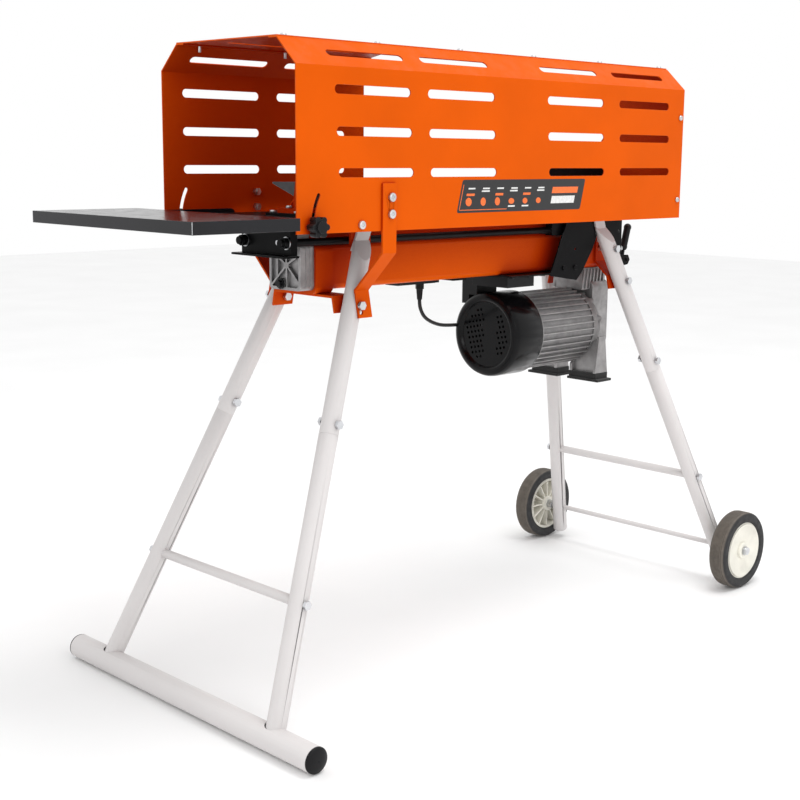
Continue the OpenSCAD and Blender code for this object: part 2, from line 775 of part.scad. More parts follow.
module cooling_fan() {
  color(black) difference() {
    union() {
      rod_x(642, 688, 16, 0, motor_z);
      rod_x(684, 687, 70, 0, motor_z);
      for (a = [0:45:315]) translate([0, 0, motor_z]) rotate([a, 0, 0])
        span([648, 14, -1.5], [686, 72, 1.5]);
    }
    rod_x(600, 700, 8, 0, motor_z);
  }
}
module driven_gear() {
  color(grey) {
    gear(gear_x - 2, motor_z + 2 * gear_pitch, 15);
    rod_x(894, 918, 6, 0, motor_z + 2 * gear_pitch);
  }
}
module control_lever() {
  color(black) difference() {
    union() {
      rod_y(-10.9, 10.9, 9, lever_x, lever_z);
      line([lever_x, 0, lever_z], [lever_x + 5, 0, -70], 4);
      line([lever_x + 5, 0, -70], [lever_x + 17, 0, -29], 7.5);
      translate([lever_x + 17, 0, -29]) sphere(r = 8.2);
      translate([lever_x + 5, 0, -70]) sphere(r = 8.2);
    }
    rod_y(-20, 20, 4 + fit, lever_x, lever_z);
  }
}
module valve_spool() {
  color(zinc) {
    rod_x(962, 1043, 4, 0, -72);
    rod_x(1036, 1043, 6, 0, -72);
  }
}
module start_button() {
  color([0.1, 0.45, 0.15]) {
    rod_y(74, 92, 9, 500, -78);
  }
}

// ---- ram: slides along -X ----
module ram_crosshead() {
  color(black) difference() {
    union() {
      span([head_x, -63, -42], [head_x + 14, 63, -2]);
      span([head_x - 18, -68, -45.5], [head_x + 14, 68, -42]);
    }
    mirrored() rod_x(0, 100, side_rod_r, side_rod_y, rod_z);
    rod_x(head_x + 4, 100, 9, 0, rod_z);
    rod_x(70, 100, 4, -34, rod_z);
  }
}
module ram_rods() {
  color(black) mirrored() {
    rod_x(head_x - 15, push_x + 72, side_rod_r, side_rod_y, rod_z);
    rod_x(head_x - 10, head_x - 1.5, 9, side_rod_y, rod_z);
  }
}
module piston_rod() {
  color([0.75, 0.76, 0.78]) {
    rod_x(head_x + 14, 590, piston_rod_r, 0, rod_z);
    rod_x(head_x + 4, head_x + 14, 9, 0, rod_z);
    rod_x(575, 600, 20 - fit, 0, rod_z);
  }
}
module ram_nuts() {
  color(zinc) {
    mirrored() difference() {
      union() {
        rod_x(head_x - 1.5, head_x, 10.5, side_rod_y, rod_z);
        hex_x(push_x + 62, push_x + 71, 10, side_rod_y, rod_z);
      }
      rod_x(0, 900, side_rod_r, side_rod_y, rod_z);
    }
    rod_x(head_x - 4, head_x + 14, 4, -34, rod_z);
  }
}
module pusher() {
  color(black) difference() {
    union() {
      span([push_x, -61, 18.1], [push_x + 12, 61, 104]);
      span([push_x, -61, 18.1], [push_x + 215, 61, 26]);
      mirrored() {
        span([push_x + 12, 44.5, -32], [push_x + 62, 61, 26]);
        span([push_x + 12, 31, 1], [push_x + 62, 50, 11.5]);
        along_y(55, 61) polygon([[push_x, 26], [push_x, 104], [push_x + 190, 104],
          [push_x + 215, 70], [push_x + 215, 26]]);
      }
      for (x = [push_x + 100, push_x + 190]) span([x, -58, 26], [x + 6, 58, 96]);
    }
    mirrored() rod_x(push_x, push_x + 70, side_rod_r, side_rod_y, rod_z);
  }
}

// ---- table: hinged on the panels ----
module table() {
  left = table_right - table_length;
  color(black) {
    difference() {
      span([left, -table_half, table_top - table_depth], [table_right, table_half, table_top]);
      span([left + 2, -table_half + 2, table_top - table_depth - 1],
        [table_right - 2, table_half - 2, table_top - 2]);
    }
    mirrored() difference() {
      union() {
        span([table_right - 60, 163, 5], [hinge_x, 167, 24.9]);
        rod_y(163, 167, 10, hinge_x, hinge_z + 4.2);
        rod_y(163, 167, 9.5, hinge_x, hinge_z);
      }
      rod_y(160, 170, 4 + fit, hinge_x, hinge_z);
      rod_y(160, 170, 3 + fit, hinge_x - stud_reach, hinge_z);
    }
  }
}
module knob_far() {
  color(black) translate([hinge_x - stud_reach, 0, hinge_z]) {
    rod_y(159, 176, 3);
    rod_y(cage_half + 0.15, 176, 9);
    rod_y(176, 191, 12.5);
    for (a = [0:60:300]) rotate([0, a, 0]) rod_y(176, 191, 4.8, 12.2, 0);
    rod_y(191, 194, 9);
  }
}
module knob_near() {
  mirror([0, 1, 0]) knob_far();
}

module cage_near_half() {
  color(orange) cage_half_near();
}
module cage_far_half() {
  color(orange) cage_half_far();
}
module leg_front_far_upper() {
  leg_upper(true, front_seam, [-307, -124]);
}
module leg_front_near_upper() {
  mirror([0, 1, 0]) leg_upper(true, front_seam, [-307, -124]);
}
module leg_rear_far_upper() {
  leg_upper(false, rear_seam, [-292, -126.6, -62]);
}
module leg_rear_near_upper() {
  mirror([0, 1, 0]) leg_upper(false, rear_seam, [-292, -126.6, -62]);
}
module leg_front_far_lower() {
  leg_lower(true, front_seam, foot_z, [-307], front_bar_z);
}
module leg_front_near_lower() {
  mirror([0, 1, 0]) leg_lower(true, front_seam, foot_z, [-307], front_bar_z);
}
module leg_rear_far_lower() {
  leg_lower(false, rear_seam, -757, [-292], rear_bar_z);
}
module leg_rear_near_lower() {
  mirror([0, 1, 0]) leg_lower(false, rear_seam, -757, [-292], rear_bar_z);
}
module front_crossbar() {
  crossbar(true, front_bar_z);
}
module rear_crossbar() {
  crossbar(false, rear_bar_z);
}
module tyre_far() {
  tyre();
}
module tyre_near() {
  mirror([0, 1, 0]) tyre();
}
module rim_far() {
  rim();
}
module rim_near() {
  mirror([0, 1, 0]) rim();
}

// ---- the whole machine ----
translate([-mid_x, 0, deck_z]) {
  tank_beam();
  front_end_cap();
  rear_end_cap();
  cylinder_barrel();
  oil_plug();
  bed_plate();
  log_tray();
  wedge_stand();
  wedge();
  cage_near_half();
  cage_far_half();
  cage_top();
  cage_end_plate();
  brace_near();
  brace_far();
  cross_straps();
  leg_front_near_upper();
  leg_front_far_upper();
  leg_rear_near_upper();
  leg_rear_far_upper();
  leg_front_near_lower();
  leg_front_far_lower();
  leg_rear_near_lower();
  leg_rear_far_lower();
  front_crossbar();
  rear_crossbar();
  foot_tube();
  foot_caps();
  frame_bolts();
  axle();
  motor_bracket();
  lever_bracket();
  capacitor_box();
  switch_box();
  motor_lead();
  lead_glands();
  fan_cover();
  motor_body();
  stator();
  end_bell();
  pump_neck();
  motor_boots();
  ram_crosshead();
  ram_rods();
  piston_rod();
  ram_nuts();
  pusher();
  tyre_near();
  rim_near();
  tyre_far();
  rim_far();
  table();
  knob_near();
  knob_far();
  rotor();
  cooling_fan();
  driven_gear();
  control_lever();
  valve_spool();
  start_button();
}
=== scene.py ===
"""Looks of the log splitter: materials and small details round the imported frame."""
import json
import math

import bmesh
import bpy
from mathutils import Matrix, Vector


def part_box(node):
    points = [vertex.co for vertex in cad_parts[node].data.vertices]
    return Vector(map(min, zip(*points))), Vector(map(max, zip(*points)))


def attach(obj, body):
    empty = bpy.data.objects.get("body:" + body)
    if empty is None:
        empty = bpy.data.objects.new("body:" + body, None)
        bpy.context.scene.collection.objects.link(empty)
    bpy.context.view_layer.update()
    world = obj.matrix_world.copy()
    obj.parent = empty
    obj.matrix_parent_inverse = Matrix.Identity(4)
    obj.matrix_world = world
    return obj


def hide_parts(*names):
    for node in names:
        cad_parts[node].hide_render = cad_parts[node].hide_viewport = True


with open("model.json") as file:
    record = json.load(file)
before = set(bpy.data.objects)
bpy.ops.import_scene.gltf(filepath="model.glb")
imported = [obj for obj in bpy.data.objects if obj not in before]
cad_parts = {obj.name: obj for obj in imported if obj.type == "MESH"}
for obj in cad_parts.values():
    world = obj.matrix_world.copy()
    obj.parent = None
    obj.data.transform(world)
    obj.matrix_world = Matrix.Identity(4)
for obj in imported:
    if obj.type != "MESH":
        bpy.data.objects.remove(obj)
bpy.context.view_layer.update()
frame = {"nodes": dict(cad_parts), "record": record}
NODES = frame["nodes"]
MM = 0.001

# the deck: where the cage's table end and lower edge stand in the frame
CAGE_LO, CAGE_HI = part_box("cage_near_half")
DECK = Vector((CAGE_LO[0], 0.0, CAGE_LO[2]))


def at(x, y, z):
    """A place given in millimetres from the cage's lower corner, in metres."""
    return DECK + Vector((x, y, z)) * MM


def middle(node):
    lo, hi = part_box(node)
    return (Vector(lo) + Vector(hi)) / 2


# ---------------------------------------------------------------- camera, light
CAMERA_AT = Vector((-1.8098, -1.7325, 0.9008))
CAMERA_YAW, CAMERA_PITCH, CAMERA_ROLL = (math.radians(a) for a in (45.03, 10.49, 0.603))
LENS, SENSOR = 60.70, 36
SHIFT = (-0.0164, 0.0039)
FAR_CLIP = 60


def make_camera():
    forward = Vector((math.sin(CAMERA_YAW) * math.cos(CAMERA_PITCH),
                      math.cos(CAMERA_YAW) * math.cos(CAMERA_PITCH), -math.sin(CAMERA_PITCH)))
    right = Vector((math.cos(CAMERA_YAW), -math.sin(CAMERA_YAW), 0))
    up = right.cross(forward)
    c, s = math.cos(CAMERA_ROLL), math.sin(CAMERA_ROLL)
    right, up = c * right + s * up, c * up - s * right
    data = bpy.data.cameras.new("camera")
    data.lens, data.sensor_width = LENS, SENSOR
    data.shift_x, data.shift_y = SHIFT
    data.clip_end = FAR_CLIP
    cam = bpy.data.objects.new("camera", data)
    turn = Matrix((right, up, -forward)).transposed().to_4x4()
    cam.matrix_world = Matrix.Translation(CAMERA_AT) @ turn
    bpy.context.scene.collection.objects.link(cam)
    bpy.context.scene.camera = cam


SKY = 1.0
LIT_POINT = (0, 0, 0.6)
LIGHTS = {  # place, width in metres, power in watts
    "key": ((-1.2, -4.2, 2.4), 1.8, 18),
    "over": ((0.3, -0.9, 4.0), 2.0, 55),
}


def area_light(name, place, aim, size, power):
    data = bpy.data.lights.new(name, "AREA")
    data.shape, data.size, data.energy = "DISK", size, power
    light = bpy.data.objects.new(name, data)
    light.location = place
    light.rotation_euler = (Vector(aim) - Vector(place)).to_track_quat("-Z", "Y").to_euler()
    bpy.context.scene.collection.objects.link(light)


def make_light():
    world = bpy.data.worlds.new("studio")
    world.use_nodes = True
    sky = world.node_tree.nodes["Background"]
    sky.inputs["Color"].default_value = (1, 1, 1, 1)
    sky.inputs["Strength"].default_value = SKY
    bpy.context.scene.world = world
    bpy.context.scene.view_settings.view_transform = "Standard"
    for name, (place, size, power) in LIGHTS.items():
        area_light(name, place, LIT_POINT, size, power)


# ---------------------------------------------------------------- materials
class Mat:
    """A node material with a few shorthand calls."""

    def __init__(self, name):
        self.m = bpy.data.materials.new(name)
        self.m.use_nodes = True
        self.tree = self.m.node_tree
        self.shader = self.tree.nodes["Principled BSDF"]
        coord = self.tree.nodes.new("ShaderNodeTexCoord")
        self.place = coord.outputs["Object"]

    def node(self, kind, **values):
        n = self.tree.nodes.new(kind)
        for key, value in values.items():
            if hasattr(n, key):
                setattr(n, key, value)
        return n

    def link(self, a, b):
        self.tree.links.new(a, b)

    def put(self, name, value):
        if isinstance(value, (int, float, tuple)):
            self.shader.inputs[name].default_value = value
        else:
            self.link(value, self.shader.inputs[name])

    def noise(self, scale, detail=3, rough=0.5, stretch=None):
        n = self.node("ShaderNodeTexNoise")
        n.inputs["Scale"].default_value = scale
        n.inputs["Detail"].default_value = detail
        n.inputs["Roughness"].default_value = rough
        source = self.place
        if stretch:
            mapping = self.node("ShaderNodeMapping")
            mapping.inputs["Scale"].default_value = stretch
            self.link(source, mapping.inputs["Vector"])
            source = mapping.outputs["Vector"]
        self.link(source, n.inputs["Vector"])
        return n.outputs["Fac"]

    def ramp(self, value, low, high, a=0.0, b=1.0):
        n = self.node("ShaderNodeMapRange")
        for key, number in (("From Min", low), ("From Max", high), ("To Min", a), ("To Max", b)):
            n.inputs[key].default_value = number
        self.link(value, n.inputs["Value"])
        return n.outputs["Result"]

    def maths(self, kind, a, b):
        n = self.node("ShaderNodeMath", operation=kind)
        for i, value in enumerate((a, b)):
            if isinstance(value, (int, float)):
                n.inputs[i].default_value = value
            else:
                self.link(value, n.inputs[i])
        return n.outputs[0]

    def mix(self, factor, a, b):
        n = self.node("ShaderNodeMix", data_type="RGBA")
        for name, value in (("Factor", factor), ("A", a), ("B", b)):
            kinds = "VALUE" if name == "Factor" else "RGBA"
            socket = next(s for s in n.inputs if s.name == name and s.type == kinds)
            if isinstance(value, (int, float, tuple)):
                socket.default_value = value
            else:
                self.link(value, socket)
        return next(s for s in n.outputs if s.type == "RGBA")

    def bump(self, layers):
        """layers: (height, strength, distance in metres), laid one on the other."""
        last = None
        for height, strength, distance in layers:
            n = self.node("ShaderNodeBump")
            n.inputs["Strength"].default_value = strength
            n.inputs["Distance"].default_value = distance
            self.link(height, n.inputs["Height"])
            if last:
                self.link(last, n.inputs["Normal"])
            last = n.outputs["Normal"]
        self.link(last, self.shader.inputs["Normal"])

    def edges(self, radius=0.0012):
        """Bright along convex and concave edges, from how far a rounded normal leans."""
        bevel = self.node("ShaderNodeBevel", samples=4)
        bevel.inputs["Radius"].default_value = radius
        geometry = self.node("ShaderNodeNewGeometry")
        dot = self.node("ShaderNodeVectorMath", operation="DOT_PRODUCT")
        self.link(bevel.outputs["Normal"], dot.inputs[0])
        self.link(geometry.outputs["Normal"], dot.inputs[1])
        return self.ramp(dot.outputs["Value"], 0.97, 0.80)

    # Mask for painted shade: ambient occlusion picks out recesses, corners and enclosed parts, where
    # shade falls.
    def painted_recess_shade(self, reach=0.01):
        n = self.node("ShaderNodeAmbientOcclusion", samples=6)
        n.inputs["Distance"].default_value = reach
        return self.ramp(n.outputs["AO"], 0.35, 0.9, 1.0, 0.0)

    def facing_up(self):
        geometry = self.node("ShaderNodeNewGeometry")
        split = self.node("ShaderNodeSeparateXYZ")
        self.link(geometry.outputs["Normal"], split.inputs[0])
        return self.ramp(split.outputs["Z"], 0.6, 0.98)


def shade(c, k):
    return tuple(min(1.0, v * k) for v in c[:3]) + (1.0,)


def paint(name, color, rough=0.32, coat=0.35, peel=0.10, spread=0.06, wear_and_highlight_tone=(0.75, 0.72, 0.68), wear_and_highlight_amount=0.12,
          shadow=None):
    """Powder coat: orange peel, faint cloudiness, dust on top faces, thin light edges that are partly
    chips and partly a painted edge highlight; given a shadow colour, painted shade in enclosed parts.
    """
    m = Mat(name)
    cloud = m.noise(7, 4)
    base = m.mix(m.ramp(cloud, 0.3, 0.7), shade(color, 1 - spread), shade(color, 1 + spread))
    speck = m.ramp(m.noise(420, 2), 0.66, 0.74)
    base = m.mix(m.maths("MULTIPLY", speck, 0.10), base, shade(color, 0.6))
    dust = m.maths("MULTIPLY", m.facing_up(), m.ramp(m.noise(26, 6, 0.7), 0.45, 0.75, 0.0, 0.10))
    base = m.mix(dust, base, (0.62, 0.58, 0.52, 1))
    # edges mixed in patches toward the edge tone: chips, and on the orange a painted edge highlight
    chips_and_edge_highlight = m.maths("MULTIPLY", m.edges(), m.ramp(m.noise(90, 5, 0.7), 0.45, 0.62, 0.0, wear_and_highlight_amount))
    base = m.mix(chips_and_edge_highlight, base, wear_and_highlight_tone + (1,))
    # painted shade: paint in enclosed parts, such as inside the cage, is darkened toward the shadow
    # colour
    if shadow:
        base = m.mix(m.painted_recess_shade(0.35), base, shadow + (1,))
    m.put("Base Color", base)
    m.put("Roughness", m.ramp(m.noise(60, 4), 0.3, 0.7, rough - 0.05, rough + 0.07))
    m.put("Specular IOR Level", 0.03)
    m.put("Coat Weight", coat)
    m.put("Coat Roughness", 0.18)
    m.bump([(m.noise(650, 2), peel, 0.0004), (m.noise(14, 2), 0.04, 0.002)])
    return m.m


def gloss_black(name, color=(0.010, 0.010, 0.012), rough=0.16, peel=0.05, gloss=0.2, coat=0.1):
    m = Mat(name)
    base = m.mix(m.ramp(m.noise(9, 4), 0.3, 0.7), shade(color, 0.8), shade(color, 1.3))
    dust = m.ramp(m.noise(380, 3, 0.6), 0.68, 0.76, 0.0, 0.08)
    base = m.mix(dust, base, (0.5, 0.48, 0.45, 1))
    # edges lightened to grey in patches: rubbed wear mixed with a painted edge highlight
    rub_and_edge_highlight = m.maths("MULTIPLY", m.edges(0.0009), m.ramp(m.noise(120, 4), 0.45, 0.6, 0.0, 0.3))
    base = m.mix(rub_and_edge_highlight, base, (0.42, 0.42, 0.43, 1))
    m.put("Base Color", base)
    m.put("Roughness", m.ramp(m.noise(40, 5, 0.6), 0.3, 0.75, rough, rough + 0.12))
    m.put("Specular IOR Level", gloss)
    m.put("Coat Weight", coat)
    m.put("Coat Roughness", 0.08)
    m.bump([(m.noise(420, 2), peel, 0.0003), (m.noise(11, 2), 0.05, 0.002)])
    return m.m


def cast_metal(name, color, rough=0.48, metal=0.75, grain=0.45):
    """Sand or die cast skin: two sizes of grain, painted shade darker in corners, a painted highlight
    bright on edges.
    """
    m = Mat(name)
    base = m.mix(m.ramp(m.noise(35, 6, 0.65), 0.35, 0.68), shade(color, 0.78), shade(color, 1.14))
    # painted shade: recesses darkened from ambient occlusion
    base = m.mix(m.maths("MULTIPLY", m.painted_recess_shade(0.008), 0.65), base, shade(color, 0.25))
    # painted highlight: edges brightened toward pale grey
    base = m.mix(m.maths("MULTIPLY", m.edges(), 0.35), base, (0.86, 0.86, 0.87, 1))
    m.put("Base Color", base)
    m.put("Metallic", metal)
    m.put("Roughness", m.ramp(m.noise(120, 5), 0.3, 0.7, rough - 0.1, rough + 0.14))
    m.bump([(m.noise(900, 3), grain, 0.0003), (m.noise(130, 4), 0.25, 0.0006)])
    return m.m


def bare_metal(name, color, rough=0.26, lay=(1, 1, 40), streak=0.12):
    """Machined or plated metal with fine lines along one way."""
    m = Mat(name)
    lines = m.noise(160, 4, 0.6, lay)
    tint = m.mix(m.ramp(m.noise(60, 3), 0.3, 0.7), shade(color, 0.85), shade(color, 1.1))
    # painted shade: recesses darkened from ambient occlusion
    tint = m.mix(m.maths("MULTIPLY", m.painted_recess_shade(0.004), 0.6), tint, shade(color, 0.22))
    m.put("Base Color", tint)
    m.put("Metallic", 1.0)
    m.put("Roughness", m.ramp(lines, 0.3, 0.7, rough - 0.06, rough + 0.14))
    m.bump([(lines, streak, 0.0001)])
    return m.m


def plastic(name, color, rough=0.45, grain=0.18, size=900, soft=0.0):
    """Moulded plastic or rubber with a spark-eroded grain."""
    m = Mat(name)
    base = m.mix(m.ramp(m.noise(18, 5), 0.3, 0.7), shade(color, 0.85), shade(color, 1.12))
    # edges pulled a little toward mid grey: on the dark plastics and rubber a painted edge highlight
    base = m.mix(m.maths("MULTIPLY", m.edges(0.0008), 0.12), base, (0.5, 0.5, 0.5, 1))
    # painted shade: recesses darkened from ambient occlusion
    base = m.mix(m.maths("MULTIPLY", m.painted_recess_shade(0.006), 0.35), base, shade(color, 0.45))
    m.put("Base Color", base)
    m.put("Roughness", m.ramp(m.noise(70, 4), 0.3, 0.7, rough - 0.05, rough + 0.08))
    m.put("Specular IOR Level", 0.2)
    m.put("Sheen Weight", soft)
    m.bump([(m.noise(size, 2), grain, 0.0002), (m.noise(35, 3), 0.05, 0.0008)])
    return m.m


def tyre_rubber(name):
    """Black sidewalls; the tread carries grey-brown dust from rolling."""
    m = Mat(name)
    hub = middle("axle")
    split = m.node("ShaderNodeSeparateXYZ")
    m.link(m.place, split.inputs[0])
    dx = m.maths("SUBTRACT", split.outputs["X"], hub.x)
    dz = m.maths("SUBTRACT", split.outputs["Z"], hub.z)
    radius = m.maths("SQRT", m.maths("ADD", m.maths("MULTIPLY", dx, dx), m.maths("MULTIPLY", dz, dz)), 0)
    tread = m.ramp(radius, 0.0785, 0.0803)
    patchy = m.ramp(m.noise(70, 6, 0.7), 0.3, 0.7, 0.55, 1.0)
    base = m.mix(m.maths("MULTIPLY", tread, patchy), (0.018, 0.018, 0.019, 1), (0.15, 0.128, 0.105, 1))
    scuff = m.ramp(m.noise(160, 5, 0.7), 0.58, 0.75, 0.0, 0.2)
    base = m.mix(scuff, base, (0.12, 0.115, 0.105, 1))
    m.put("Base Color", base)
    m.put("Roughness", m.ramp(m.noise(90, 4), 0.3, 0.7, 0.55, 0.8))
    rings = m.maths("SINE", m.maths("MULTIPLY", radius, 2200.0), 0)
    m.bump([(rings, 0.12, 0.0003), (m.noise(700, 3), 0.35, 0.0003)])
    return m.m


def winding(name):
    m = Mat(name)
    wires = m.node("ShaderNodeTexWave")
    wires.inputs["Scale"].default_value = 160
    m.link(m.place, wires.inputs["Vector"])
    m.put("Base Color", m.mix(wires.outputs["Fac"], (0.30, 0.12, 0.05, 1), (0.62, 0.30, 0.14, 1)))
    m.put("Metallic", 0.7)
    m.put("Roughness", 0.35)
    m.bump([(wires.outputs["Fac"], 0.6, 0.0006)])
    return m.m


def make_materials():
    orange = (0.70, 0.095, 0.0012)
    return {
        # the orange's shadow colour is painted shade for the inside of the cage
        "orange": paint("orange_powder_coat", orange, 0.38, 0.01, 0.07, shadow=(0.42, 0.018, 0.0006)),
        "white": paint("white_powder_coat", (0.68, 0.655, 0.65), 0.36, 0.1, 0.08, 0.03,
                       wear_and_highlight_tone=(0.3, 0.29, 0.28), wear_and_highlight_amount=0.15),
        "black_paint": gloss_black("black_satin_paint", (0.004, 0.004, 0.0045), 0.3, 0.12, 0.07, 0.0),
        "table_black": gloss_black("table_gloss", (0.006, 0.006, 0.008), 0.16, 0.04, 0.3, 0.06),
        "cast_alu": cast_metal("cast_aluminium", (0.38, 0.37, 0.37)),
        "dark_iron": cast_metal("wedge_steel", (0.10, 0.10, 0.105), 0.42, 0.6, 0.3),
        "steel": bare_metal("machined_steel", (0.50, 0.50, 0.51)),
        "chromed": bare_metal("chromed_rod", (0.78, 0.78, 0.80), 0.1, (1, 40, 40), 0.03),
        "zinc": bare_metal("zinc_plate", (0.66, 0.67, 0.69), 0.3, (1, 1, 1), 0.2),
        "black_plastic": plastic("black_plastic", (0.006, 0.006, 0.007), 0.38),
        "gloss_black": gloss_black("fan_cover_gloss", (0.003, 0.003, 0.0035), 0.14, 0.03, 0.14, 0.03),
        "soft_rubber": plastic("rubber", (0.014, 0.014, 0.014), 0.6, 0.3, 500, 0.2),
        "tyre": tyre_rubber("tyre_rubber"),
        "cream_plastic": plastic("wheel_plastic", (0.80, 0.78, 0.70), 0.42, 0.12),
        "copper": winding("stator_winding"),
        "green_plastic": plastic("button_plastic", (0.03, 0.30, 0.06), 0.3),
    }


SLOT_OF = {s["node"]: s["material_slot"] for s in frame["record"]["subparts"]}
ROUNDING = {  # edge rounding of each material, in millimetres
    "orange": 0.5, "white": 0.5, "black_paint": 0.6, "table_black": 0.7, "cast_alu": 0.7,
    "dark_iron": 0.4, "steel": 0.3, "zinc": 0.35, "black_plastic": 0.7, "soft_rubber": 1.0,
    "cream_plastic": 0.6, "green_plastic": 0.8, "gloss_black": 0.4}
SHARP = math.radians(28)
SHEETS = ("motor_lead", "cage_near_half", "cage_far_half", "cage_top", "cage_end_plate")


def round_edges(o, width):
    """Joins the split corners that the file brings, then rounds the hard edges a little."""
    weld = o.modifiers.new("weld", "WELD")
    weld.merge_threshold = 1e-6
    bevel = o.modifiers.new("edges", "BEVEL")
    bevel.width = width * MM
    bevel.segments = 2
    bevel.limit_method = "ANGLE"
    bevel.angle_limit = SHARP
    bevel.harden_normals = True


def dress_frame(materials):
    for name, o in NODES.items():
        slot = SLOT_OF[name]
        o.data.materials.clear()
        o.data.materials.append(materials[slot])
        if slot in ROUNDING and name not in SHEETS:
            round_edges(o, ROUNDING[slot])


# ---------------------------------------------------------------- mesh helpers
def add_mesh(name, bm, material, body, smooth=True):
    mesh = bpy.data.meshes.new(name)
    bm.to_mesh(mesh)
    bm.free()
    o = bpy.data.objects.new(name, mesh)
    mesh.materials.append(material)
    for p in mesh.polygons:
        p.use_smooth = smooth
    bpy.context.scene.collection.objects.link(o)
    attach(o, body)
    return o


def ring_points(centre, axis, radius, count, start=0.0):
    axis = Vector(axis).normalized()
    side = axis.orthogonal().normalized()
    other = axis.cross(side)
    turns = [start + i * math.tau / count for i in range(count)]
    return [centre + radius * (math.cos(t) * side + math.sin(t) * other) for t in turns]


def lathe(bm, centre, axis, profile, count=32):
    """profile: (radius, height along axis) from one end to the other, in metres."""
    axis = Vector(axis).normalized()
    rings = []
    for radius, height in profile:
        base = centre + axis * height
        if radius < 1e-6:
            rings.append([bm.verts.new(base)])
        else:
            rings.append([bm.verts.new(p) for p in ring_points(base, axis, radius, count)])
    for a, b in zip(rings, rings[1:]):
        for i in range(count):
            j = (i + 1) % count
            quad = [a[i % len(a)], a[j % len(a)], b[j % len(b)], b[i % len(b)]]
            quad = list(dict.fromkeys(quad))
            if len(quad) > 2:
                bm.faces.new(quad)


def screw_head(bm, centre, axis, radius, height, socket=True):
    """Button head with a hexagon socket."""
    axis = Vector(axis).normalized()
    dome = [(radius, 0), (radius, height * 0.25), (radius * 0.93, height * 0.6),
            (radius * 0.75, height * 0.88), (radius * 0.52, height)]
    if not socket:
        lathe(bm, centre, axis, dome + [(0.0, height)], 20)
        return
    count = 24
    rings = [[bm.verts.new(p) for p in ring_points(centre + axis * h, axis, r, count)] for r, h in dome]
    flat = radius * 0.48 * math.cos(math.pi / 6)
    for depth in (height, height * 0.35):
        ring = []
        for i, p in enumerate(ring_points(Vector((0, 0, 0)), axis, 1.0, count)):
            turn = (i * math.tau / count) % (math.pi / 3) - math.pi / 6
            ring.append(bm.verts.new(centre + axis * depth + p * flat / math.cos(turn)))
        rings.append(ring)
    for a, b in zip(rings, rings[1:]):
        for i in range(count):
            bm.faces.new([a[i], a[(i + 1) % count], b[(i + 1) % count], b[i]])
    bm.faces.new(rings[-1])


def bead(bm, path, radius, seed=0):
    """A weld bead: an overlapping row of small humps along a path of points."""
    count = 8
    last = None
    for i, p in enumerate(path):
        ahead = path[min(i + 1, len(path) - 1)] - path[max(i - 1, 0)]
        swell = radius * (1 + 0.16 * math.sin(i * 2.4 + seed) + 0.08 * math.sin(i * 5.1 + seed))
        ring = [bm.verts.new(q) for q in ring_points(p, ahead, swell, count)]
        if last:
            for k in range(count):
                bm.faces.new([last[k], last[(k + 1) % count], ring[(k + 1) % count], ring[k]])
        last = ring


# ---------------------------------------------------------------- details
NEAR = -171.0  # the near panel's outer face
LABEL_X, LABEL_Z = (349, 680), (24, 79)  # the label's lower edge and its height
LABEL_LEAN = 14
LABEL_CORNER = 4.5
FILM, PRINT = 0.15, 0.08  # thickness of the label's film and of the print on it
PRINT_Y = NEAR - 0.14
COLUMN_START, COLUMN_STEP, COLUMNS = 26, 36.5, 6


def slab(bm, outline, y, thick):
    """A flat plate on the near panel from points (x, z) in millimetres."""
    front = [bm.verts.new(at(x, y - thick, z)) for x, z in outline]
    back = [bm.verts.new(at(x, y, z)) for x, z in outline]
    bm.faces.new(front)
    bm.faces.new(list(reversed(back)))
    for i in range(len(outline)):
        j = (i + 1) % len(outline)
        bm.faces.new([front[j], front[i], back[i], back[j]])


def leaning(x0, x1, z0, z1):
    """A parallelogram with its top shifted as the label's own sides are."""
    k = LABEL_LEAN / (LABEL_Z[1] - LABEL_Z[0])
    return [(x0 + k * (z0 - LABEL_Z[0]), z0), (x1 + k * (z0 - LABEL_Z[0]), z0),
            (x1 + k * (z1 - LABEL_Z[0]), z1), (x0 + k * (z1 - LABEL_Z[0]), z1)]


def rounded(corners, radius, steps=5):
    """The outline with each corner replaced by a short curve."""
    outline = []
    for i, corner in enumerate(corners):
        here = Vector(corner)
        before = here + (Vector(corners[i - 1]) - here).normalized() * radius
        after = here + (Vector(corners[(i + 1) % len(corners)]) - here).normalized() * radius
        for k in range(steps + 1):
            t = k / steps
            outline.append((1 - t) ** 2 * before + 2 * t * (1 - t) * here + t * t * after)
    return [tuple(p) for p in outline]


def disc(x, z, wide, high, count=20):
    turns = [i * math.tau / count for i in range(count)]
    return [(x + wide * math.cos(t), z + high * math.sin(t)) for t in turns]


def decal(name, color, rough):
    """Printed film of one faintly uneven colour."""
    m = Mat(name)
    cloud = m.ramp(m.noise(300, 3), 0.4, 0.7)
    m.put("Base Color", m.mix(cloud, shade(color, 0.9), shade(color, 1.1)))
    m.put("Roughness", m.ramp(m.noise(80, 3), 0.3, 0.7, rough, rough + 0.1))
    m.bump([(m.noise(500, 2), 0.04, 0.0002)])
    return m.m


def mark(bm, outline):
    """One printed shape on the label's film."""
    slab(bm, outline, PRINT_Y, PRINT)


